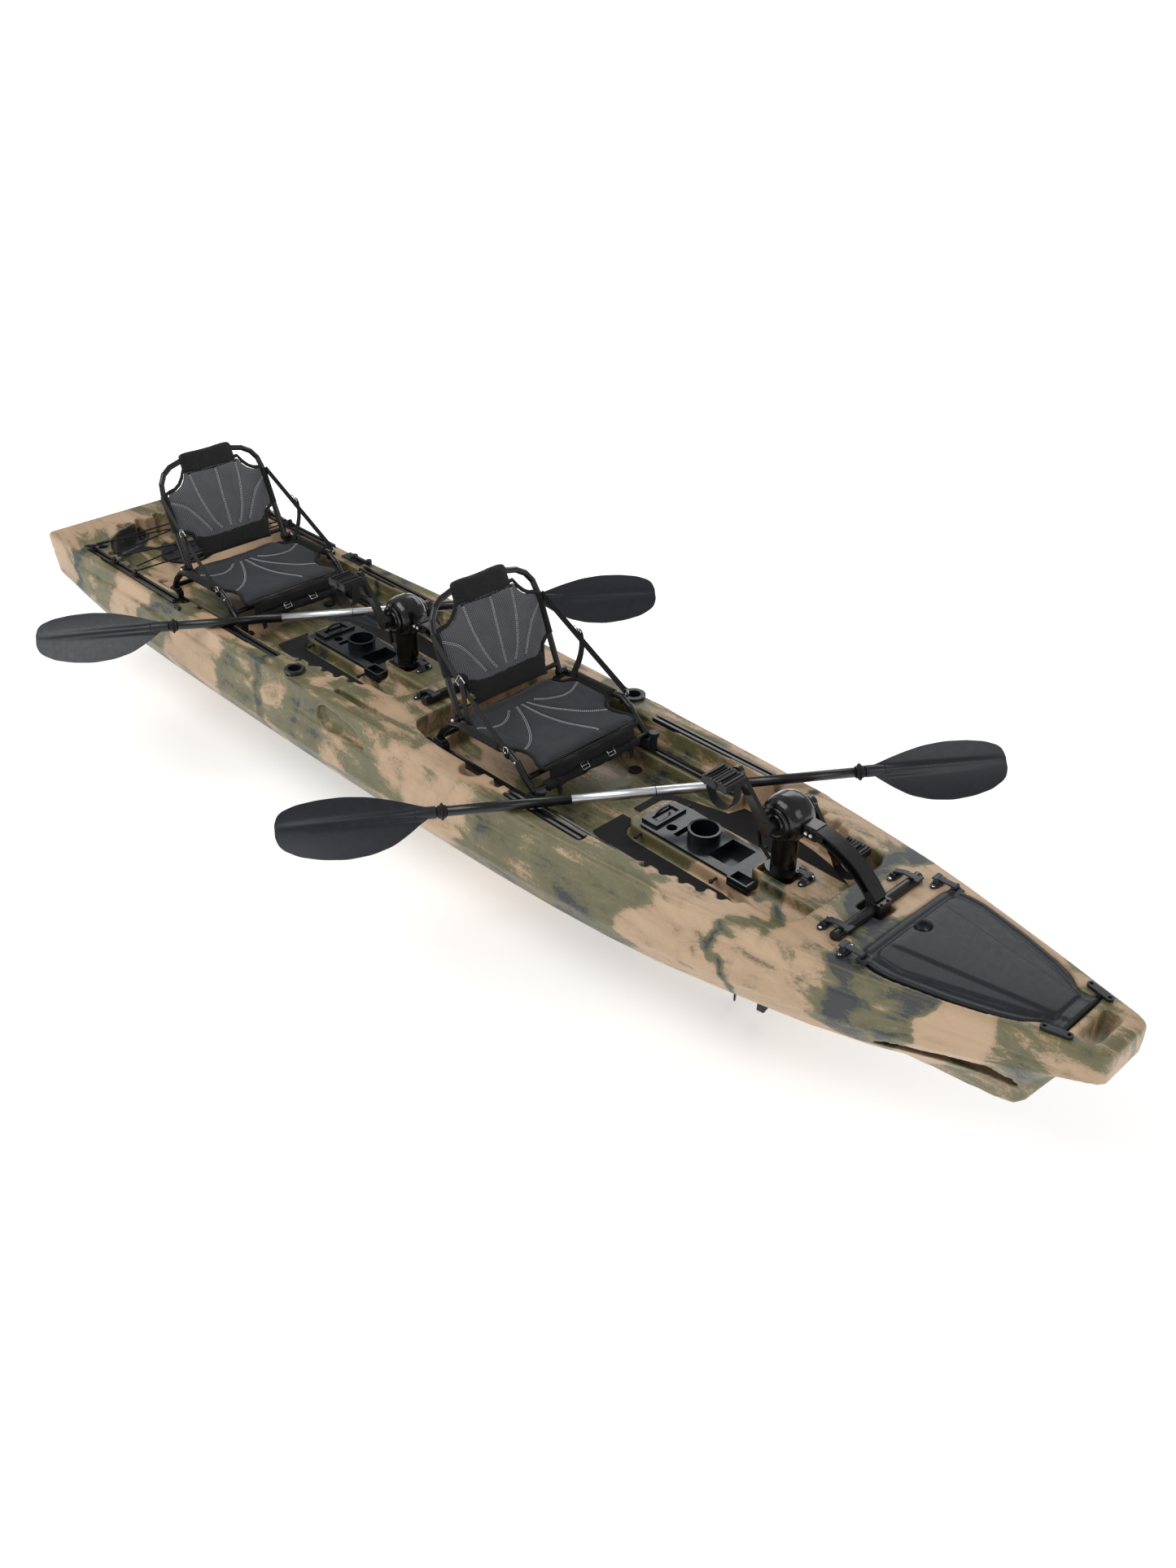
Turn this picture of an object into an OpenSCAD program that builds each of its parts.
// Tandem sit-on-top pedal kayak: moulded hull, two pedal drives, two framed
// seats on rails, two console trays, two paddles, bow hatch, tank well and a
// hand-steered rudder.  Millimetres.  +X to the bow, +Y to port, +Z up.
// Origin on the keel line at mid length.
// Name endings: _x, _y, _z place, _r radius, _l length, _w width, _h height.

/* [Hull] */
// Overall length of the hull moulding
hull_length = 4340; // [4320:5:4360]
// Factor on the beam of the hull below the gunwale
beam_factor = 1.0; // [0.98:0.005:1.02]
// Height of the cockpit floor above the keel
floor_z = 235; // [230:1:238]
// Height of the ledge that carries the seat rails
ledge_z = 289; // [288:1:290]
// Radius of the open scupper holes in the tank well
scupper_r = 19; // [15:0.5:22]

/* [Cockpits] */
// Distance between the front and the rear cockpit
pitch = 1590; // [1585:1:1595]
// Position of the front drive column along the hull
drive_x = 1154; // [1152:1:1156]
// Position of the rear drive column along the hull
rear_drive_x = -459; // [-461:1:-457]
// Height of the console deck under the column flange
console_z = 335; // [334:1:336]

/* [Pedal drive] */
// Length of each crank arm
crank_l = 170; // [160:1:172]
// Crank axle height above the keel
crank_z = 509; // [507:1:511]
// Angle of the starboard crank arm at rest, from the bow upwards
crank_angle = 130; // [120:1:140]
// Distance from the column to the cross bar that the drive tilts on
bar_dx = 308; // [306:1:310]
// Height of the cross bar
bar_z = 381; // [380.5:0.5:381.5]
// Radius of the cross bar
bar_r = 15; // [14:0.5:15]
// Half length of the cross bar
bar_half_l = 183; // [175:1:188]
// Propeller axis height, below the keel
prop_z = -115; // [-118:1:-112]
// Propeller tip radius
prop_r = 100; // [85:1:102]

/* [Seats] */
// Position of the front seat's front cross tube
seat_x = 422; // [418:1:426]
// Position of the rear seat's front cross tube
rear_seat_x = -1104; // [-1108:1:-1100]
// Half spacing of the base side tubes
seat_half_w = 237; // [235:0.5:239]
// How much lower the rear seat and its rails sit
rear_drop = 22; // [20:1:24]
// Radius of the base tubes
seat_tube_r = 11; // [9:0.5:11]
// Lean of the back from the vertical
back_lean = 23; // [20:1:25]
// Length of the back hoop above its hinge
back_l = 376; // [365:1:385]

/* [Paddles] */
// Overall length of a paddle
paddle_l = 2150; // [2100:10:2200]
// Radius of the paddle shaft
shaft_r = 15; // [14:0.5:16]
// Angle of the front paddle from athwartships
paddle_angle = 34.4; // [32:0.2:36]
// Length of one blade
blade_l = 440; // [430:5:460]
// Tilt of the blades about the shaft
blade_tilt = 48; // [30:1:55]
// Width of one blade
blade_w = 178; // [165:1:185]

/* [Trays] */
// Radius of the cup holder bore
cup_r = 41; // [38:0.5:42]

/* [Hidden] */
$fn = 32;

// Colours shared by several nodes
black = [0.05, 0.05, 0.06];
rail_black = [0.06, 0.06, 0.07];
soft_black = [0.07, 0.07, 0.08];
cord_black = [0.04, 0.04, 0.04];
latch_grey = [0.12, 0.14, 0.16];
metal = [0.6, 0.6, 0.62];

// The hull tables are drawn for this length and stretched to hull_length.
table_l = 4300;
hull_scale = hull_length / table_l;
stern_shift = -table_l / 2 * (hull_scale - 1);
front_bar_x = drive_x + bar_dx;
rear_bar_x = rear_drive_x + bar_dx;
cockpit_origins = [0, -pitch];
// Where each seat stands
front_seat = [seat_x, 0, 0];
rear_seat = [rear_seat_x, 0, -rear_drop];

// ---- helpers ---------------------------------------------------------------
// Smooth curve through a table of [x, value] pairs (cubic Hermite).
function segment(x, t, i = 0) =
  (i >= len(t) - 2 || x < t[i + 1][0]) ? i : segment(x, t, i + 1);
function rise(t, i, j) = (t[j][1] - t[i][1]) / (t[j][0] - t[i][0]);
function slope(t, i) = rise(t, max(i - 1, 0), min(i + 1, len(t) - 1));
function curve(x, t) =
  let (i = segment(x, t), h = t[i + 1][0] - t[i][0], u = min(1, max(0, (x - t[i][0]) / h)))
  (2 * pow(u, 3) - 3 * u * u + 1) * t[i][1] + (pow(u, 3) - 2 * u * u + u) * h * slope(t, i)
  + (3 * u * u - 2 * pow(u, 3)) * t[i + 1][1] + (pow(u, 3) - u * u) * h * slope(t, i + 1);

// Outline made of a port half and its mirror image; points on the centreline are left out.
function mirrored(half) = concat(
  [for (p = half) if (p[1] != 0) p],
  [for (i = [len(half) - 1 : -1 : 0]) if (half[i][1] != 0) [half[i][0], -half[i][1]]]);

// Outline whose corners are rounded by quadratic arcs of three steps.
// share: part of the shorter neighbouring edge that the arc takes up
function rounded(outline, share = 0.3) = [for (i = [0 : len(outline) - 1])
  let (before = outline[(i + len(outline) - 1) % len(outline)],
       corner = outline[i],
       after = outline[(i + 1) % len(outline)],
       before_l = norm(before - corner),
       after_l = norm(after - corner),
       reach = min(before_l, after_l) * share,
       start = corner + (before - corner) / before_l * reach,
       end = corner + (after - corner) / after_l * reach)
  for (k = [0 : 3]) let (t = k / 3)
    (1 - t) * (1 - t) * start + 2 * t * (1 - t) * corner + t * t * end];

// Gear outline: n teeth between two radii, each 2 * half_angle wide at the root.
function gear(n, root_r, tip_r, half_angle) = [for (i = [0 : n - 1]) let (a = 360 * i / n) each
  [[root_r * cos(a - half_angle), root_r * sin(a - half_angle)],
   [tip_r * cos(a - half_angle * 0.6), tip_r * sin(a - half_angle * 0.6)],
   [tip_r * cos(a + half_angle * 0.6), tip_r * sin(a + half_angle * 0.6)],
   [root_r * cos(a + half_angle), root_r * sin(a + half_angle)]]];

module tube(from, to, r) {
  v = to - from;
  translate(from)
    rotate([0, acos(v[2] / norm(v)), atan2(v[1], v[0])]) cylinder(h = norm(v), r = r);
}
module path_tube(points, r) {
  for (i = [0 : len(points) - 2]) tube(points[i], points[i + 1], r);
  for (i = [1 : len(points) - 2]) translate(points[i]) sphere(r = r + 0.3);
}
// Cylinders along x, y and z, and a box from its lowest corner.
module xcyl(x0, x1, y, z, r)
  translate([x0, y, z]) rotate([0, 90, 0]) cylinder(h = x1 - x0, r = r);
module ycyl(x, y0, y1, z, r)
  translate([x, min(y0, y1), z]) rotate([-90, 0, 0]) cylinder(h = abs(y1 - y0), r = r);
module post(x, y, z, h, r) translate([x, y, z]) cylinder(h = h, r = r);
module box(corner, size) translate(corner) cube(size);
// Plate with an [x, z] outline, between two y values.
module side_plate(outline, y0, y1)
  translate([0, max(y0, y1), 0]) rotate([90, 0, 0])
    linear_extrude(abs(y1 - y0)) polygon(outline);
// Plate with an [x, y] outline, h thick from z up.
module slab(outline, z, h) translate([0, 0, z]) linear_extrude(h) polygon(outline);
// Bar with a [y, z] outline, l long from x forward.
module long_bar(outline, x, l)
  translate([x, 0, 0]) rotate([90, 0, 90]) linear_extrude(l) polygon(outline);
module both_sides() {
  children();
  mirror([0, 1, 0]) children();
}

// ---- hull lines ------------------------------------------------------------
// Tables of [x, value].  Half beam and height of the gunwale:
gunwale_y = [[-2150, 412], [-1900, 394], [-1500, 376], [-800, 384], [0, 387], [800, 367],
  [1400, 292], [1800, 196], [2000, 140], [2150, 98]];
gunwale_z = [[-2150, 380], [-1700, 354], [-1200, 348], [-500, 364], [0, 366], [500, 358],
  [1400, 373], [2150, 391]];
// Half beam and height of the chine
chine_y = [[-2150, 392], [-1800, 398], [-1200, 405], [-600, 410], [0, 407], [500, 390],
  [900, 352], [1200, 304], [1500, 242], [1750, 180], [1950, 130], [2150, 90]];
chine_z = [[-2150, 215], [-1800, 176], [-1200, 158], [-500, 154], [300, 154], [900, 157],
  [1300, 170], [1600, 190], [1850, 228], [2150, 304]];
// Height and half width of the keel flat
keel_z = [[-2150, 90], [-2000, 52], [-1800, 20], [-1500, 0], [1500, 0], [1750, 8], [1885, 16],
  [1930, 30], [1960, 78], [1991, 156], [2050, 246], [2150, 298]];
keel_y = [[-2150, 60], [1400, 60], [1700, 26], [1900, 9], [2150, 20]];
// Two points between keel and chine: share of the chine's half beam, share of the rise
lower_y_share = [[-2150, 0.66], [900, 0.66], [1500, 0.56], [1800, 0.34], [2000, 0.30],
  [2150, 0.55]];
lower_z_share = [[-2150, 0.16], [900, 0.16], [1500, 0.22], [1850, 0.42], [2150, 0.30]];
upper_y_share = [[-2150, 0.885], [900, 0.885], [1500, 0.82], [1850, 0.64], [2150, 0.82]];
upper_z_share = [[-2150, 0.48], [900, 0.48], [1500, 0.54], [1850, 0.72], [2150, 0.60]];
// Stations of the sections
stations = [-2150, -2138, -2105, -2020, -1900, -1760, -1600, -1400, -1150, -900, -650, -400,
  -150, 100, 350, 600, 800, 980, 1140, 1290, 1430, 1560, 1680, 1780, 1860, 1920, 1948, 1976,
  2006, 2040, 2080, 2118, 2140, 2150];

// Height just above the deck at the gunwale.
function deck_z(x) = curve(x / hull_scale, gunwale_z) + 1;
// How far the end sections draw in, to round the ends off.
function inset(x) = x <= -2149 ? 14 : x <= -2137 ? 4 : x >= 2149 ? 12 : x >= 2139 ? 4 : 0;
// Port half of a section, [y, z], from the keel up.
function section(x) =
  let (s = inset(x),
       top_y = curve(x, gunwale_y) - s,
       top_z = curve(x, gunwale_z) - s * 0.6,
       side_y = (curve(x, chine_y) - s) * beam_factor,
       side_z = curve(x, chine_z),
       low_z = lookup(x, keel_z) + s * 0.6)
  [[lookup(x, keel_y), low_z],
   [side_y * lookup(x, lower_y_share), low_z + (side_z - low_z) * lookup(x, lower_z_share)],
   [side_y * lookup(x, upper_y_share), low_z + (side_z - low_z) * lookup(x, upper_z_share)],
   [side_y, side_z],
   [side_y * 0.45 + top_y * 0.55 + 3, side_z + (top_z - side_z) * 0.58],
   [top_y, top_z - 16], [top_y - 3, top_z - 6], [top_y - 10, top_z]];

module hull_body() {
  n = 16; // points in a full section
  last = len(stations) - 1;
  points = [for (x = stations) let (half = section(x)) each concat(
    [for (p = half) [x * hull_scale, p[0], p[1]]],
    [for (i = [n / 2 - 1 : -1 : 0]) [x * hull_scale, -half[i][0], half[i][1]]])];
  faces = concat(
    [[for (j = [0 : n - 1]) j]],
    [for (i = [0 : last - 1]) for (j = [0 : n - 1])
      let (next = (j + 1) % n, a = i * n, b = (i + 1) * n)
      each [[a + j, b + j, a + next], [a + next, b + j, b + next]]],
    [[for (j = [n - 1 : -1 : 0]) last * n + j]]);
  polyhedron(points, faces);
}

// ---- hull ------------------------------------------------------------------
// Port half outlines in plan, [x, y], from aft to forward.  Those of the foot
// well, seat well and pod (console) are measured from the cockpit's origin.
foot_half = [[-60, 0], [-60, 150], [-40, 192], [0, 215], [792, 215], [806, 284], [880, 286],
  [892, 275], [985, 275], [997, 262], [1088, 262], [1100, 243], [1188, 243], [1202, 220],
  [1292, 218], [1332, 206], [1350, 170], [1352, 0]];
seat_half = [[-104, 0], [-104, 200], [-96, 258], [-60, 282], [0, 296], [60, 300], [470, 300],
  [500, 292], [800, 292], [812, 285.5], [812, 0]];
pod_half = [[640, 0], [643, 62], [672, 92], [1050, 96], [1120, 112], [1220, 136], [1300, 150],
  [1353, 150], [1353, 0]];
tank_half = [[-2042, 0], [-2038, 100], [-2012, 190], [-1960, 255], [-1890, 290],
  [-1810, 298], [-1500, 298], [-1500, 0]];
hatch_half = [[1545, 0], [1545, 176], [1560, 198], [1600, 211], [1650, 210], [1790, 178],
  [1900, 142], [1955, 116], [1984, 88], [2000, 80], [2034, 80], [2034, 0]];
hold_half = [[1590, 0], [1590, 150], [1620, 176], [1660, 174], [1790, 142], [1900, 104],
  [1950, 80], [1950, 0]];

// Gear tracks: [aft x, bow x, centre y, z 2 below the top]
tracks = [[385, 859, 315, 357], [385, 700, -315, 357],
  [-1130, -700, 317, 352], [-1100, -760, -317, 352],
  [-1977, -1348, 343, 360], [-1977, -1348, -343, 360]];

hatch_axis_z = 384;          // axis of the bow hatch hinges
hatch_axis_x = 2040;
hatch_bed_z = 366;           // bed of the bow hatch seal
floor_scupper = [430, 180];  // [x, y] from the cockpit's origin
cup_x = 872;                 // cup holder, from the cockpit's origin
tank_hatch_x = -1850;
rod_starboard = [-618, -346];
rod_port = [255, 350];
cut_h = 300;                 // tall enough to cut through the deck

module console(origin_x, column_x) intersection() {
  translate([origin_x, 0, 0]) slab(rounded(mirrored(pod_half), 0.25), floor_z - 5, 200);
  union() {
    // long part that carries the tray, with sloped sides
    long_bar([[-150, floor_z - 5], [150, floor_z - 5], [150, 246], [92, 283], [-92, 283],
      [-150, 246]], column_x - 520, 800);
    // raised part under the drive column
    long_bar([[-150, floor_z - 5], [150, floor_z - 5], [150, 252], [88, 288], [76, 300],
      [76, console_z - 4], [72, console_z], [-72, console_z], [-76, console_z - 4],
      [-76, 300], [-88, 288], [-150, 252]], column_x - 62, 290);
  }
}
module cockpit_cut(origin_x, column_x, drop) {
  difference() {
    translate([origin_x, 0, 0]) {
      slab(mirrored(foot_half), floor_z, cut_h);
      slab(mirrored(seat_half), ledge_z - drop, cut_h);
    }
    console(origin_x, column_x);
  }
  translate([origin_x, 0, 0]) {
    // pocket for the tray and its cup holder
    box([694, -66, 252], [336, 132, 60]);
    post(cup_x, 0, floor_z - 3, 60, 52);
    // scupper holes in the floor
    both_sides() post(floor_scupper[0], floor_scupper[1], -20, 300, 15);
  }
  translate([column_x, 0, 0]) {
    // trunk for the drive leg, long enough for the leg to tilt in
    side_plate([[54, -60], [54, 420], [-56, 420], [-56, 300], [-130, 172], [-296, 142],
      [-296, -60]], -46, 46);
    // cross bar grooves and the pocket for its clamp
    ycyl(bar_dx, -bar_half_l - 5, bar_half_l + 5, bar_z, bar_r + 0.3);
    box([bar_dx - bar_r - 1.3, -bar_half_l - 5, bar_z],
      [2 * bar_r + 2.6, 2 * bar_half_l + 10, 60]);
    box([bar_dx - 44, -36, bar_z - 42], [82, 72, 100]);
    // notch for the tray's corner box
    box([-110, -116, 282.4], [88, 62, 60]);
  }
}
// Moulded carry handle: pocket in the side and a grip slot in the deck.
module side_handle_cut() {
  translate([-315, 0, 0])
    side_plate(rounded([[-125, 322], [-96, 338], [60, 324], [118, 292], [122, 268],
      [60, 262], [-90, 262], [-125, 284]], 0.35), 374, 454);
  box([-430, 306, 332], [210, 24, 80]);
}
module bow_hatch_cut() {
  // rim, 3 clear of the cover and open to the hinge axis, and the hold under it
  slab(mirrored([for (p = hatch_half)
    [p[0] > 2030 ? 2049 : p[0] - (p[0] < 1550 ? 3 : 0), p[1] == 0 ? 0 : p[1] + 3]]),
    hatch_bed_z, 60);
  slab(mirrored(hold_half), 110, cut_h);
  // pockets for the hinge arms
  both_sides() box([2030, 79, 374], [20, 20, 60]);
}
module hull() color([0.42, 0.40, 0.27]) difference() {
  hull_body();
  cockpit_cut(0, drive_x, 0);
  cockpit_cut(-pitch, rear_drive_x, rear_drop);
  // tank well
  slab(mirrored(tank_half), ledge_z - rear_drop, cut_h);
  bow_hatch_cut();
  // bow handle opening
  slab(rounded([[2072, -66], [2106, -66], [2122, -52], [2122, 52], [2106, 66], [2072, 66]]),
    200, cut_h);
  both_sides() side_handle_cut();
  // rod notches in the starboard gunwale
  for (x = cockpit_origins) {
    post(x + 227, -308, 322, 100, 40);
    box([x + 312, -322, 338], [36, 40, 60]);
  }
  // seats for the flush rod holders
  for (p = [rod_starboard, rod_port]) post(p[0], p[1], 200, 250, 27);
  // channels under the gear tracks
  for (t = tracks) box([t[0] - 2, t[2] - 17, t[3] - 12.2], [t[1] - t[0] + 4, 34, 60]);
  // tank hatch opening
  post(tank_hatch_x, 0, 215, 200, 82);
  // open scuppers, also used by a cart
  both_sides() post(-1700, 200, -20, 400, scupper_r);
}

// ---- root fittings ---------------------------------------------------------
// Hatch outline drawn in: bow end cut at max_x, aft edge and sides moved inwards.
function seal_outline(max_x, aft_in, side_in) = mirrored([for (p = hatch_half)
  [min(p[0], max_x) + (p[0] < 1550 ? aft_in : 0), p[1] == 0 ? 0 : p[1] - side_in]]);
module bow_hatch_seal() color([0.06, 0.06, 0.06]) difference() {
  slab(seal_outline(1992, 6, 4), hatch_bed_z, 3.4);
  slab(seal_outline(1980, 16, 14), hatch_bed_z - 1, 6);
}

// Oval foot with two screw holes, the arm down to the axis, and the cover's pin.
module hatch_hinges() color(black) both_sides() {
  foot_z = deck_z(2080);
  screw_x = [-4, 54];
  difference() {
    union() {
      translate([2012, 106, foot_z]) rotate([0, 0, -14]) {
        box([-4, -10, 0], [58, 20, 8]);
        for (x = screw_x) post(x, 0, 0, 8, 10);
      }
      ycyl(hatch_axis_x, 84.5, 97, hatch_axis_z, 7);
      box([2034, 86, hatch_axis_z], [12, 11, foot_z - hatch_axis_z + 6]);
    }
    translate([2012, 106, foot_z + 4]) rotate([0, 0, -14])
      for (x = screw_x) post(x, 0, 0, 12, 5);
  }
  ycyl(hatch_axis_x, 72, 90, hatch_axis_z, 3);
}

ear_y = 13.5;             // ears of a latch, either side of its lever
latch_screw_y = 24;
latch_pin_bore_r = 2.05;
bar_latch_dx = -50;       // lever axis, from the cross bar
bar_latch_y = 150;
hatch_latch_y = 202;
hatch_latch_x = 1562;     // lever axis on the cover
hatch_latch_z = 391.5;

// Places of the latch bases, [x, y, z]
bar_latch_places = [for (x = [front_bar_x, rear_bar_x]) for (side = [-1, 1])
  [x + bar_latch_dx, side * bar_latch_y, deck_z(x + bar_latch_dx)]];
other_latch_places = concat(
  [for (side = [-1, 1]) [1512, side * hatch_latch_y, deck_z(1512)]],
  [for (x = [drive_x, rear_drive_x]) [x + 82, 0, console_z]]);

module ears(l, h) for (side = [-1, 1]) box([-l / 2, side * ear_y - 2, 0], [l, 4, h]);
module eared_base(place) translate(place) difference() {
  union() {
    box([-12, -22, 0], [24, 44, 4]);
    for (side = [-1, 1]) post(0, side * latch_screw_y, 0, 4, 9);
    ears(18, 13);
  }
  for (side = [-1, 1]) post(0, side * latch_screw_y, -1, 8, 3.2);
}
module latch_bases() color(latch_grey) {
  for (p = bar_latch_places) difference() {
    eared_base(p);
    ycyl(p[0], p[1] - 30, p[1] + 30, p[2] + 10, latch_pin_bore_r);
  }
  for (p = other_latch_places) eared_base(p);
}
module latch_screws() color([0.8, 0.8, 0.82])
  for (p = concat(bar_latch_places, other_latch_places)) for (side = [-1, 1])
    translate([p[0], p[1] + side * latch_screw_y, p[2] + 0.5]) {
      cylinder(h = 3.6, r = 3);
      translate([0, 0, 3.6]) cylinder(h = 1.6, r1 = 5, r2 = 3.6);
    }

// Rails and tracks have a T slot, open at the top and the ends.
module seat_rails() color(rail_black)
  for (place = [[0, 0, ledge_z], [-pitch, 0, ledge_z - rear_drop]]) both_sides()
    translate(place) difference() {
      box([-80, 226, 0], [870, 26, 12]);
      box([-95, 235, 3], [935, 8, 12]);
      box([-95, 232, 3], [935, 14, 5]);
    }
module gear_tracks() color(rail_black) for (t = tracks) difference() {
  l = t[1] - t[0];
  box([t[0], t[2] - 15, t[3] - 12], [l, 30, 14]);
  box([t[0] - 1, t[2] - 5, t[3] - 8], [l + 2, 10, 20]);
  box([t[0] - 1, t[2] - 9, t[3] - 8], [l + 2, 18, 6]);
}

// Port floor pad, [x, y] from the cockpit's origin
pad_outline = [[575, 24], [575, 150], [640, 168], [790, 205], [806, 262], [880, 264],
  [985, 254], [1088, 240], [1190, 214], [1262, 176], [1286, 158], [1250, 146], [1215, 141],
  [1110, 118], [1040, 104], [690, 101], [655, 92], [634, 66], [630, 24]];
module floor_pads() color([0.17, 0.18, 0.2]) for (x = cockpit_origins) both_sides()
  translate([x, 0, 0]) slab(pad_outline, floor_z, 5);
module scupper_plugs() color(cord_black) for (x = cockpit_origins) both_sides()
  translate([x + floor_scupper[0], floor_scupper[1], floor_z]) {
    cylinder(h = 5, r = 21);
    post(0, 0, -38, 38, 14.9);
  }

// Steering lever post, on the port gunwale beside the rear seat
steer_x = -1212;
steer_y = 344;
steer_z = deck_z(-1155) + 0.4;

// Barrel of a flush rod holder; the child is its flange.
module rod_holder(place, barrel_h) translate([place[0], place[1], 0]) difference() {
  union() {
    children();
    post(0, 0, 215, barrel_h, 26.9);
  }
  post(0, 0, 225, 200, 22);
}
module rod_holders() color(black) {
  rod_holder(rod_starboard, 152) post(0, 0, deck_z(-618) + 0.2, 12, 36, $fn = 6);
  rod_holder(rod_port, 150) post(0, 0, deck_z(230) + 0.2, 8, 38);
  // plate and post of the steering lever
  box([-1265, 322, steer_z], [110, 44, 5]);
  post(steer_x, steer_y, steer_z, 7, 20);
  post(steer_x, steer_y, steer_z + 4, 16, 6);
  // pad eye on the starboard gunwale
  translate([-1318, -376, deck_z(-1318) + 0.3]) difference() {
    cube([34, 14, 12]);
    box([9, -1, 4], [16, 16, 4]);
  }
}

tank_cord_x = [-1930, -1775, -1625];
tank_cord_z = 374;
tank_cord_r = 2.9;
// Side of the console pod between its outline points at x 672 and 1050
function pod_side_y(x) = 92 + (x - 672) * 4 / 378;
module bungee_anchors() color([0.05, 0.05, 0.05]) {
  for (x = tank_cord_x) both_sides() {
    box([x - 14, 332, 362.2], [28, 22, 5]);
    difference() {
      ycyl(x, 338, 348, tank_cord_z, 9);
      ycyl(x, 330, 352, tank_cord_z, 3.2);
    }
  }
  // ball studs on the console sides
  for (origin_x = cockpit_origins) both_sides() for (x = [714, 1004])
    translate([origin_x + x, pod_side_y(x) + 0.2, 270]) {
      ycyl(0, 0, 22, 0, 4);
      translate([0, 22, 0]) sphere(r = 7);
    }
}
module tank_bungee() color(cord_black) {
  for (i = [0, 2])
    tube([tank_cord_x[i], -337.5, tank_cord_z], [tank_cord_x[i], 337.5, tank_cord_z],
      tank_cord_r);
  // crossed diagonals, one set above the other
  for (i = [0, 1]) for (m = [0, 1]) mirror([0, m, 0]) {
    z = tank_cord_z + 8 + 7 * m;
    tube([tank_cord_x[i] + 8, -328, z], [tank_cord_x[i + 1] - 8, 328, z], tank_cord_r);
  }
}

// ---- hatches and latches -----------------------------------------------------
module bow_hatch_cover() color([0.1, 0.11, 0.13]) difference() {
  union() {
    slab(rounded(mirrored(hatch_half)), 369.5, 15);
    ycyl(hatch_axis_x, -82, 82, hatch_axis_z, 8);
    box([2020, -80, 376], [20, 160, 12]);
    // raised panel
    slab([[1580, -150], [1590, -172], [1660, -176], [1960, -78], [2006, -56], [2006, 56],
      [1960, 78], [1660, 176], [1590, 172], [1580, 150]], 384, 5);
    // tabs and ears of the latch levers
    for (side = [-1, 1]) {
      box([1550, side * hatch_latch_y - 18, 380], [34, 36, 5]);
      translate([hatch_latch_x, side * hatch_latch_y, 384.5]) ears(14, 12);
    }
  }
  for (side = [-1, 1]) {
    latch_y = side * hatch_latch_y;
    ycyl(hatch_latch_x, latch_y - 30, latch_y + 30, hatch_latch_z, latch_pin_bore_r);
    ycyl(hatch_axis_x, side * 72 - 11, side * 72 + 11, hatch_axis_z, 3.05);
  }
  // finger dent
  translate([1600, 0, 392]) sphere(r = 24);
}

// Cross pin and barrel that a latch lever turns on.
module lever_pin(x, y, z) {
  ycyl(x, y - 16, y + 16, z, 2);
  ycyl(x, y - 10, y + 10, z, 5);
}
// Lever from its axis at x, l long; direction is 1 to the bow, -1 aft.
module lever(x, y, z, l, direction) {
  lever_pin(x, y, z);
  box([min(x, x + direction * l), y - 9, z + 0.5], [l, 18, 4.5]);
  box([x + direction * (l - 2) - 7, y - 15, z + 1], [14, 30, 5]);
}
module hatch_latch(side) color(latch_grey)
  lever(hatch_latch_x, side * hatch_latch_y, hatch_latch_z, 58, -1);
module bar_latch(bar_x, side) color(latch_grey) {
  x = bar_x + bar_latch_dx;
  y = side * bar_latch_y;
  z = deck_z(x) + 10;
  lever_pin(x, y, z);
  side_plate([[x - 3, z + 1], [x + 3, z + 5], [x + 30, 397.6], [x + 70, 397.6],
    [x + 70, 402], [x + 28, 402], [x - 3, z + 8]], y - 9, y + 9);
  box([x + 64, y - 15, 397.6], [12, 30, 5]);
}
// Lever axis of the latch at the column's base
base_latch_dx = 54;
base_latch_z = console_z + 20;
module base_latch(column_x) color(latch_grey)
  lever(column_x + base_latch_dx, 0, base_latch_z, 34, 1);
module tank_hatch_lid() color(soft_black) translate([tank_hatch_x, 0, ledge_z - rear_drop]) {
  post(0, 0, 0.3, 9, 98);
  post(0, 0, -20, 21, 80);
  for (a = [0 : 60 : 300]) rotate([0, 0, a]) box([50, -5, 9], [38, 10, 5]);
}

// ---- rudder ------------------------------------------------------------------
rudder_pivot_x = -2200;  // upright pin that the head turns on
blade_pin_x = -2246;     // cross pin that carries the blade
blade_pin_z = 178;
module rudder_bracket() color([0.1, 0.1, 0.11]) translate([stern_shift, 0, 0]) difference() {
  union() {
    box([-2158, -40, 130], [8, 80, 170]);
    for (z = [140, 262]) {
      box([rudder_pivot_x, -16, z], [44, 32, 18]);
      post(rudder_pivot_x, 0, z, 18, 16);
    }
  }
  post(rudder_pivot_x, 0, 100, 220, 6);
}
module steering_lever() color(rail_black) translate([steer_x, steer_y, steer_z + 7.3]) {
  difference() {
    union() {
      cylinder(h = 10, r = 15);
      box([8, -6, 0], [84, 12, 9]);
    }
    post(0, 0, -5, 30, 6.08);
  }
  post(92, 0, 0, 20, 11);
}
module rudder_head() color([0.09, 0.09, 0.1]) translate([stern_shift, 0, 0]) {
  post(rudder_pivot_x, 0, 128, 182, 5.93);
  difference() {
    union() {
      post(rudder_pivot_x, 0, 160, 100, 14);
      box([-2262, -22, 158.5], [62, 44, 90]);
      post(rudder_pivot_x, 0, 306, 6, 16);
      box([-2212, -40, 306], [24, 80, 6]);
    }
    // slot for the blade and the bore for its pin
    box([-2290, -8, 100], [66, 16, 200]);
    ycyl(blade_pin_x, -30, 30, blade_pin_z, 5);
  }
}
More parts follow.
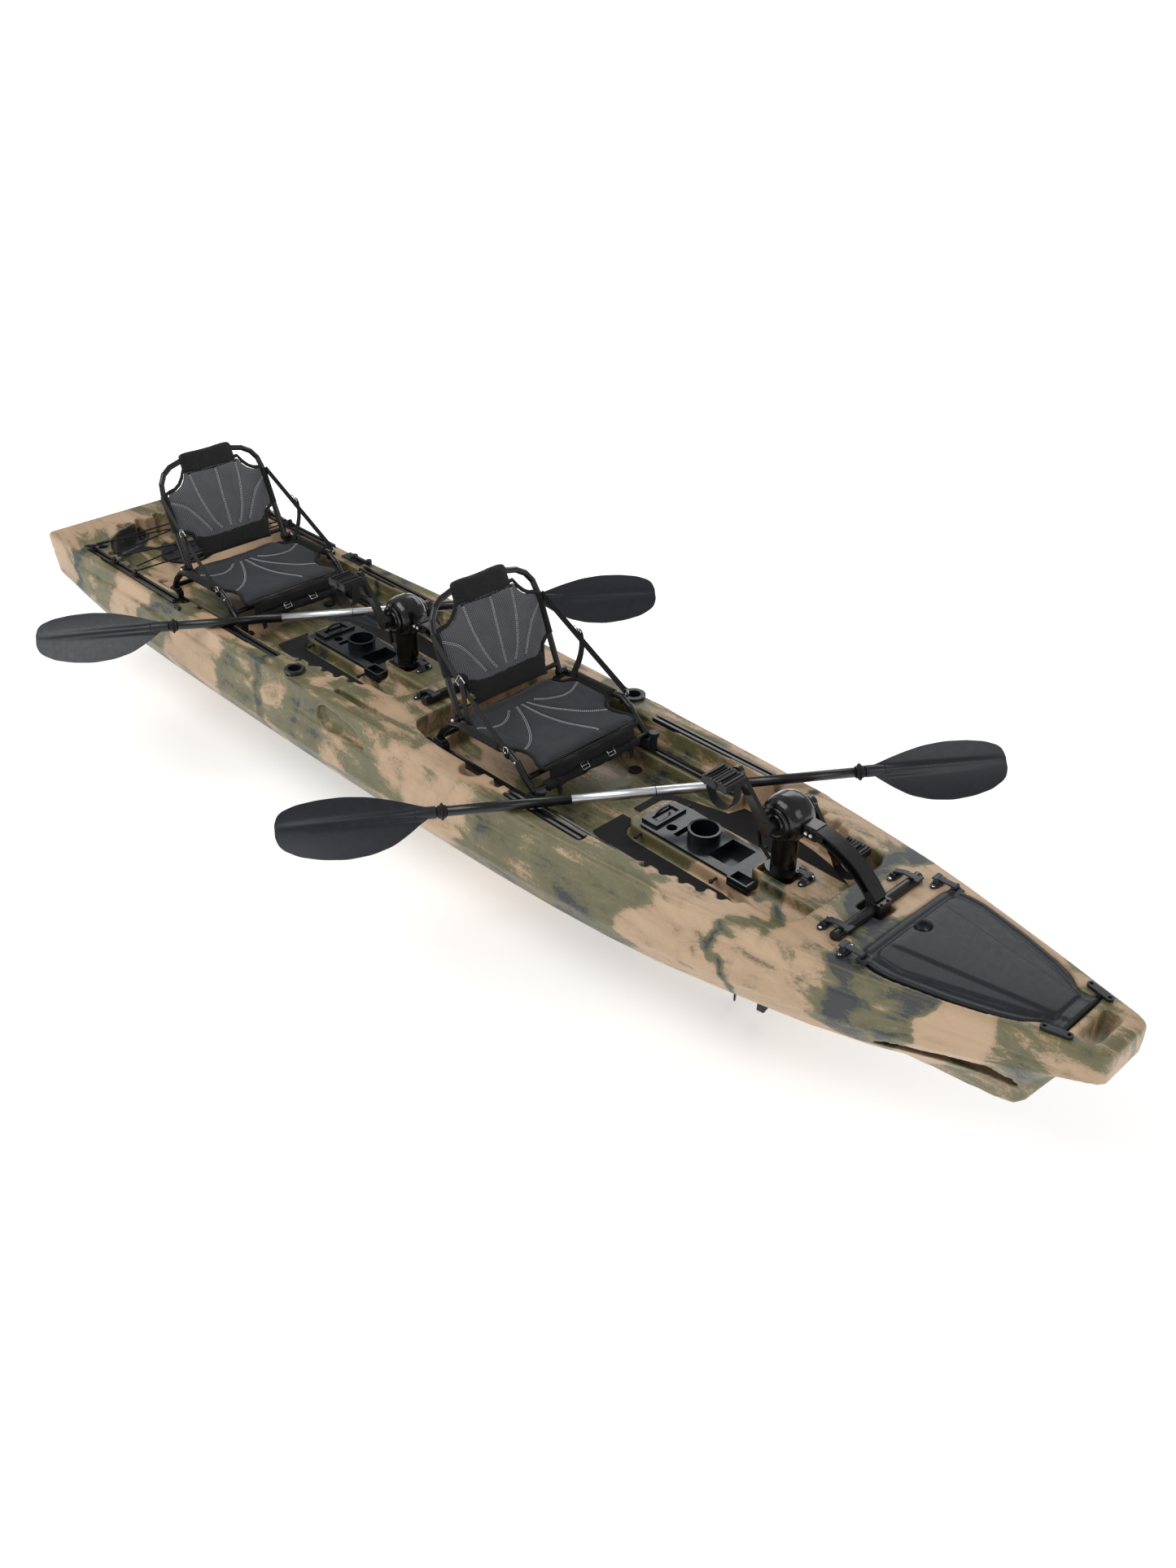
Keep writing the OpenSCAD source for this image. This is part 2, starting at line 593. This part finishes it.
module rudder_blade() color(soft_black) translate([stern_shift, 0, 0]) {
  ycyl(blade_pin_x, -26, 26, blade_pin_z, 4.94);
  side_plate([[-2262, 192], [-2232, 194], [-2228, 170], [-2232, 60], [-2240, -60],
    [-2262, -150], [-2300, -190], [-2338, -185], [-2352, -150], [-2344, -40], [-2306, 60],
    [-2268, 130]], -6, 6);
}

// ---- pedal drives --------------------------------------------------------------
// Drawn with x from the column; z stays absolute.
arm_bolt_x = [82, 98];
arm_bolt_z = crank_z - 2;
clamp_bolt_x = bar_dx + 19.5;
clamp_bolt_y = 14;
module arm_bolt_bores() for (x = arm_bolt_x) ycyl(x, -40, 40, arm_bolt_z, 4.05);

module drive_housing(column_x) color(black) translate([column_x, 0, 0]) difference() {
  union() {
    // flange on the console, column and gear head
    post(0, 0, console_z + 0.4, 11, 50);
    post(0, 0, console_z + 0.4, crank_z - console_z - 50, 36);
    translate([0, 0, crank_z]) rotate([90, 0, 0]) rotate_extrude($fn = 40)
      polygon([[0, -62], [24, -62], [30, -56], [52, -48], [64, -34], [69, -14], [69, 14],
        [64, 34], [52, 48], [30, 56], [24, 62], [0, 62]]);
    // leg through the trunk, and lower gear case with its skeg
    slab([[-30, 0], [-24, 14], [-8, 20], [14, 20], [32, 10], [38, 0], [32, -10], [14, -20],
      [-8, -20], [-24, -14]], prop_z, console_z - prop_z + 6);
    translate([-92, 0, prop_z]) rotate([0, 90, 0]) rotate_extrude()
      polygon([[0, 0], [22, 0], [27, 12], [28, 60], [27, 112], [20, 138], [10, 151],
        [0, 155]]);
    side_plate([[-34, prop_z - 15], [20, prop_z - 15], [-10, prop_z - 78],
      [-36, prop_z - 82]], -3, 3);
    // lug of the arch arm
    box([45, -21, crank_z - 22], [63, 42, 40]);
    // lifting handle behind the column
    path_tube([[-50, 0, crank_z - 34], [-80, 0, crank_z - 66], [-90, 0, crank_z - 100],
      [-82, 0, crank_z - 136], [-44, 0, console_z + 7]], 5);
    // ears of the base latch
    for (side = [-1, 1]) box([46, side * 13 - 2, console_z + 4], [15, 4, 22]);
    box([30, -15, console_z + 4], [18, 30, 7]);
  }
  // crank axle bore, gear space, shaft bores, lower gear space
  ycyl(0, -80, 80, crank_z, 10.05);
  ycyl(0, -46, 46, crank_z, 44);
  post(0, 0, prop_z - 2, crank_z - prop_z - 20, 6.06);
  post(0, 0, prop_z + 60, crank_z - prop_z - 110, 11);
  xcyl(-50, 26, 0, prop_z, 22);
  xcyl(-110, 0, 0, prop_z, 6.06);
  ycyl(base_latch_dx, -30, 30, base_latch_z, latch_pin_bore_r);
  // slot between the latch ears
  box([48, -11, console_z + 12], [30, 22, 20]);
  arm_bolt_bores();
}

// The arm's arc runs from the head lug to the bar; its centre is [x, z].
arm_r = 290;
arm_start = [66, crank_z + 2];
arm_end = [bar_dx, bar_z + 14];
arm_chord = arm_end - arm_start;
arm_centre = (arm_start + arm_end) / 2
  - [-arm_chord[1], arm_chord[0]] / norm(arm_chord)
  * sqrt(arm_r * arm_r - pow(norm(arm_chord) / 2, 2));
// Stretch of the arc at y; angles from the bow upwards, size is [radial, across].
module arm_arc(y, start, sweep, size)
  translate([arm_centre[0], y, arm_centre[1]]) rotate([90, 0, 0]) rotate([0, 0, start])
    rotate_extrude(angle = sweep, $fn = 96) translate([arm_r, 0]) square(size, center = true);

module arch_arm(column_x) color(rail_black) translate([column_x, 0, 0]) {
  difference() {
    union() {
      // two flanges and a web: the sides of the bar are hollowed
      difference() {
        arm_arc(0, 38, 56, [30, 46]);
        for (side = [-1, 1]) arm_arc(side * 17.5, 44, 35, [18, 22]);
      }
      // clamp block round the cross bar
      box([bar_dx - 22, -25, bar_z - 22], [46, 50, 44]);
    }
    // fork around the lug of the gear head
    box([30, -21.3, crank_z - 60], [80, 42.6, 120]);
    ycyl(0, -40, 40, crank_z, 70);
    arm_bolt_bores();
    ycyl(bar_dx, -40, 40, bar_z, bar_r + 0.02);
    for (side = [-1, 1]) post(clamp_bolt_x, side * clamp_bolt_y, bar_z - 40, 100, 2.6);
  }
  for (x = arm_bolt_x) {
    ycyl(x, -27, 27, arm_bolt_z, 4);
    for (side = [-1, 1]) ycyl(x, side * 23.2, side * 28, arm_bolt_z, 7);
  }
  // clamp bolts
  for (side = [-1, 1]) translate([clamp_bolt_x, side * clamp_bolt_y, bar_z - 21]) {
    cylinder(h = 44, r = 2.5);
    post(0, 0, 43.3, 4.5, 4.2);
  }
}
module t_bar(column_x) color(black)
  ycyl(column_x + bar_dx, -bar_half_l, bar_half_l, bar_z, bar_r);

module crankset(column_x) color(black) translate([column_x, 0, crank_z]) {
  ycyl(0, -84, 84, 0, 10);
  // crown gear inside the head
  side_plate(gear(40, 37, 40, 3), 17, 24);
  difference() {
    side_plate(gear(40, 34, 40, 3), 13.5, 17.5);
    ycyl(0, 10.5, 18.5, 0, 29);
  }
  for (side = [-1, 1]) rotate([0, side < 0 ? -crank_angle : 180 - crank_angle, 0]) {
    // arm with a boss at each end
    side_plate([[0, -17], [crank_l, -12], [crank_l, 12], [0, 17]], side * 84, side * 98);
    ycyl(0, side * 66, side * 100, 0, 20);
    ycyl(crank_l, side * 83, side * 99, 0, 15);
    // pedal spindle and its end cap
    ycyl(crank_l, side * 98, side * 190, 0, 7);
    ycyl(crank_l, side * 190, side * 193, 0, 10);
  }
}
module pedal(column_x, side) color(soft_black)
  translate([column_x - side * crank_l * cos(crank_angle), 0,
    crank_z - side * crank_l * sin(crank_angle)]) difference() {
    y = side * 147; // middle of the pedal
    union() {
      box([-42, y - 41, -11], [84, 82, 22]);
      for (x = [-36, 30]) box([x, y - 39, -15], [6, 78, 30]);
      ycyl(0, side * 102, side * 189, 0, 12);
    }
    ycyl(0, -240, 240, 0, 7.06);
    for (x = [-28, 14]) box([x, y - 31, -30], [12, 62, 60]);
  }
// Upright shaft with a gear at each end.
module drive_shaft(column_x) color(metal) translate([column_x, 0, 0]) {
  post(0, 0, prop_z + 14, crank_z - prop_z - 52, 6);
  slab(gear(10, 9.4, 12.4, 9), crank_z - 38.5, 9);
  slab(gear(20, 12.5, 15, 5), prop_z + 9, 6);
}
module propeller(column_x) color(black) translate([column_x, 0, prop_z]) {
  xcyl(-140, -24, 0, 0, 6);
  translate([-24, 0, 0]) rotate([0, 90, 0]) linear_extrude(6) polygon(gear(10, 6.6, 8.6, 9));
  // hub
  translate([-142, 0, 0]) rotate([0, 90, 0]) rotate_extrude()
    polygon([[0, 0], [12, 3], [19, 12], [21, 26], [21, 46], [0, 46]]);
  for (a = [0, 180]) rotate([a, 0, 0]) translate([-120, 0, 0]) rotate([0, 0, 58])
    side_plate([[-10, 8], [-22, 30], [-26, prop_r * 0.55], [-20, prop_r * 0.85],
      [-6, prop_r], [8, prop_r * 0.97], [22, prop_r * 0.8], [26, prop_r * 0.5], [18, 24],
      [10, 8]], -2.5, 2.5);
}

// ---- seats -------------------------------------------------------------------
// Local frame: x from the front cross tube, z as for the front seat.
seat_hinge_x = -366;
seat_hinge_z = 422;
seat_foot_x = [-4, -430];
seat_foot_z = 338;
// Side tube, [x, z] from the aft foot to the front foot
side_tube_path = [[-430, 338], [-410, 372], [-372, 408], [-330, 420], [-112, 425],
  [-78, 406], [-40, 366], [-4, 338]];
// Port half of the back hoop, [distance from the hinge, y]
hoop_half = [[0, 211], [270, 211], [308, 204], [338, 184], [358, 152], [back_l - 8, 110],
  [back_l - 6, 60]];

module seat_base_frame(place) color(black) translate(place) {
  both_sides() {
    path_tube([for (p = side_tube_path) [p[0], seat_half_w, p[1]]], seat_tube_r);
    for (x = seat_foot_x) translate([x, seat_half_w, seat_foot_z]) sphere(r = seat_tube_r + 0.3);
    // hinge bolts of the back
    ycyl(seat_hinge_x, 196, 230, seat_hinge_z, 4);
    ycyl(seat_hinge_x, 224, 236, seat_hinge_z, 12);
  }
  // cross tubes run between the bends and end inside them
  for (p = [[-4, 338], [-40, 366], [-430, 338]])
    ycyl(p[0], 3 - seat_half_w, seat_half_w - 3, p[1], 9);
}
// Point on the leaning back, at a distance up from the hinge.
function back_point(up, y) =
  [seat_hinge_x - up * sin(back_lean), y, seat_hinge_z + up * cos(back_lean)];
module seat_back_frame(place) color(black) translate(place) difference() {
  union() {
    path_tube([for (p = mirrored(hoop_half)) back_point(p[0], p[1])], 10);
    ycyl(seat_hinge_x, -221, -201, seat_hinge_z, 13);
    ycyl(seat_hinge_x, 201, 221, seat_hinge_z, 13);
    tube(back_point(30, -211), back_point(30, 211), 8);
  }
  ycyl(seat_hinge_x, -240, 240, seat_hinge_z, 4.06);
}
module seat_base_sling(place) color([0.1, 0.1, 0.11]) translate(place)
  side_plate([[-342, 396], [-60, 400], [-22, 392], [-20, 404], [-60, 414], [-342, 411]],
    -222, 222);
module seat_back_panel(place) color([0.25, 0.26, 0.28]) translate(place)
  translate([seat_hinge_x, 0, seat_hinge_z]) rotate([0, -back_lean, 0])
    long_bar([[-150, 24], [150, 24], [178, 60], [196, 120], [198, 262], [150, 300],
      [112, 318], [108, 388], [-108, 388], [-112, 318], [-150, 300], [-198, 262],
      [-196, 120], [-178, 60]], 12, 14);
// Side straps from the back hoop forward and down, with a block at the hoop.
module seat_straps(place) color([0.04, 0.04, 0.05]) translate(place) both_sides() {
  top = back_point(272, 0);
  run = [-110, 0, 440] - top;
  translate([top[0], 252, top[2]]) rotate([0, -atan2(run[2], run[0]), 0])
    box([0, -1.2, -10], [norm(run), 2.4, 20]);
  box([top[0] - 8, 223, top[2] - 8], [16, 30, 16]);
}
module seat_clamps(place) color(rail_black) translate(place) both_sides() {
  shoe_z = ledge_z + 12.4;
  // shoe on the rail, cut clear of the frame tubes
  for (x = seat_foot_x) translate([x, 0, 0]) difference() {
    box([-24, 224, shoe_z], [52, 30, seat_foot_z - shoe_z + 3]);
    tube([-30, seat_half_w, seat_foot_z], [30, seat_half_w, seat_foot_z], seat_tube_r + 0.1);
    box([-30, 210, 327], [60, 16, 30]);
    tube([-60, seat_half_w, seat_foot_z], [60, seat_half_w, seat_foot_z], 9.2);
    translate([0, 237, seat_foot_z]) sphere(r = 11.3);
    box([-40, 223, 322], [80, 32, 40]);
  }
  // clamp bolt and star knob
  post(26, 239, shoe_z, 44, 12);
  post(26, 239, ledge_z + 56, 14, 17, $fn = 8);
}

// ---- trays ---------------------------------------------------------------------
// x from the cockpit's origin.  The forward end is drawn for a column at
// tray_column_x and shifts with the column.
tray_column_x = 1154;
module tray(origin_x, column_x) color([0.05, 0.055, 0.07]) translate([origin_x, 0, 0]) {
  shift = column_x - origin_x - tray_column_x;
  difference() {
    union() {
      slab(rounded([[688, -70], [704, -84], [1036 + shift, -86], [1052 + shift, -112],
        [1122 + shift, -112], [1128 + shift, -104], [1086 + shift, -58], [1082 + shift, 40],
        [1066 + shift, 62], [760, 84], [704, 78], [688, 60]], 0.25), 283.3, 10);
      box([700, -62, 254], [326, 124, 34]);
      post(cup_x, 0, floor_z - 1, 92, 48.5);
      box([1050 + shift, -110, 283.3], [70, 48, 26]);
      box([690, -66, 290], [58, 128, 12]);
    }
    post(cup_x, 0, floor_z + 4, 120, cup_r);
    box([1056 + shift, -104, 287], [58, 36, 40]);
    box([800, -52, 258], [18, 104, 60]);
    box([934, -54, 258], [86, 108, 60]);
    box([708, -46, 296], [30, 88, 20]);
    post(775, -30, 270, 60, 16);
  }
}

// ---- paddles --------------------------------------------------------------------
// Drawn along x about the middle of the shaft.
// Poses: [middle, angle from athwartships, pitch up of the +x end]
front_paddle = [[703, -28, 382], paddle_angle, 0.6];
rear_paddle = [[-803, 31, 381], paddle_angle + 1.7, 1.5];
blade_x = paddle_l / 2 - blade_l;   // root of a blade

module paddle_pose(pose)
  translate(pose[0]) rotate([0, 0, 90 - pose[1]]) rotate([0, -pose[2], 0])
    rotate([blade_tilt, 0, 0]) children();
// Hollow shaft with a ring near each end.
module paddle_shaft(pose) color(metal) paddle_pose(pose) difference() {
  union() {
    xcyl(-blade_x - 60, blade_x + 60, 0, 0, shaft_r);
    for (side = [-1, 1]) translate([side * (blade_x - 22), 0, 0]) rotate([0, 90, 0])
      rotate_extrude() polygon([[shaft_r - 1, -12], [shaft_r + 3, -12], [shaft_r + 10, -3],
        [shaft_r + 10, 3], [shaft_r + 3, 12], [shaft_r - 1, 12]]);
  }
  xcyl(-blade_x - 80, blade_x + 80, 0, 0, shaft_r - 2);
}
module paddle_blades(pose) color(black) paddle_pose(pose)
  for (m = [0, 1]) mirror([m, 0, 0]) translate([blade_x, 0, 0]) difference() {
    edge = blade_w / 2;
    union() {
      slab([[28, -17], [55, -40], [105, -84], [170, -edge - 16], [280, -edge - 22],
        [360, -98], [blade_l - 20, -78], [blade_l, -46], [blade_l + 2, 20],
        [blade_l - 16, 54], [350, edge - 24], [280, edge - 22], [180, edge - 26],
        [105, 42], [55, 24], [28, 17]], -3, 6);
      // socket and spine
      xcyl(-4, 70, 0, 0, shaft_r + 2.5);
      xcyl(70, 300, 0, 0, 8);
    }
    xcyl(-90, 62, 0, 0, shaft_r + 0.1);
  }

hull();
bow_hatch_seal();
hatch_hinges();
latch_bases();
latch_screws();
seat_rails();
gear_tracks();
floor_pads();
scupper_plugs();
rod_holders();
bungee_anchors();
tank_bungee();
rudder_bracket();
bow_hatch_cover();
hatch_latch(-1);  // hatch_latch_starboard
hatch_latch(1);  // hatch_latch_port
tank_hatch_lid();
bar_latch(front_bar_x, -1);  // front_tbar_latch_starboard
bar_latch(front_bar_x, 1);  // front_tbar_latch_port
bar_latch(rear_bar_x, -1);  // rear_tbar_latch_starboard
bar_latch(rear_bar_x, 1);  // rear_tbar_latch_port
base_latch(drive_x);  // front_base_latch
base_latch(rear_drive_x);  // rear_base_latch
steering_lever();
rudder_head();
rudder_blade();
drive_housing(drive_x);  // front_drive_housing
arch_arm(drive_x);  // front_arch_arm
t_bar(drive_x);  // front_t_bar
crankset(drive_x);  // front_crankset
pedal(drive_x, -1);  // front_pedal_starboard
pedal(drive_x, 1);  // front_pedal_port
drive_shaft(drive_x);  // front_drive_shaft
propeller(drive_x);  // front_propeller
drive_housing(rear_drive_x);  // rear_drive_housing
arch_arm(rear_drive_x);  // rear_arch_arm
t_bar(rear_drive_x);  // rear_t_bar
crankset(rear_drive_x);  // rear_crankset
pedal(rear_drive_x, -1);  // rear_pedal_starboard
pedal(rear_drive_x, 1);  // rear_pedal_port
drive_shaft(rear_drive_x);  // rear_drive_shaft
propeller(rear_drive_x);  // rear_propeller
seat_base_frame(front_seat);  // front_seat_base_frame
seat_back_frame(front_seat);  // front_seat_back_frame
seat_base_sling(front_seat);  // front_seat_base_sling
seat_back_panel(front_seat);  // front_seat_back_panel
seat_straps(front_seat);  // front_seat_straps
seat_clamps(front_seat);  // front_seat_clamps
seat_base_frame(rear_seat);  // rear_seat_base_frame
seat_back_frame(rear_seat);  // rear_seat_back_frame
seat_base_sling(rear_seat);  // rear_seat_base_sling
seat_back_panel(rear_seat);  // rear_seat_back_panel
seat_straps(rear_seat);  // rear_seat_straps
seat_clamps(rear_seat);  // rear_seat_clamps
tray(0, drive_x);  // front_tray
tray(-pitch, rear_drive_x);  // rear_tray
paddle_shaft(front_paddle);  // front_paddle_shaft
paddle_blades(front_paddle);  // front_paddle_blades
paddle_shaft(rear_paddle);  // rear_paddle_shaft
paddle_blades(rear_paddle);  // rear_paddle_blades
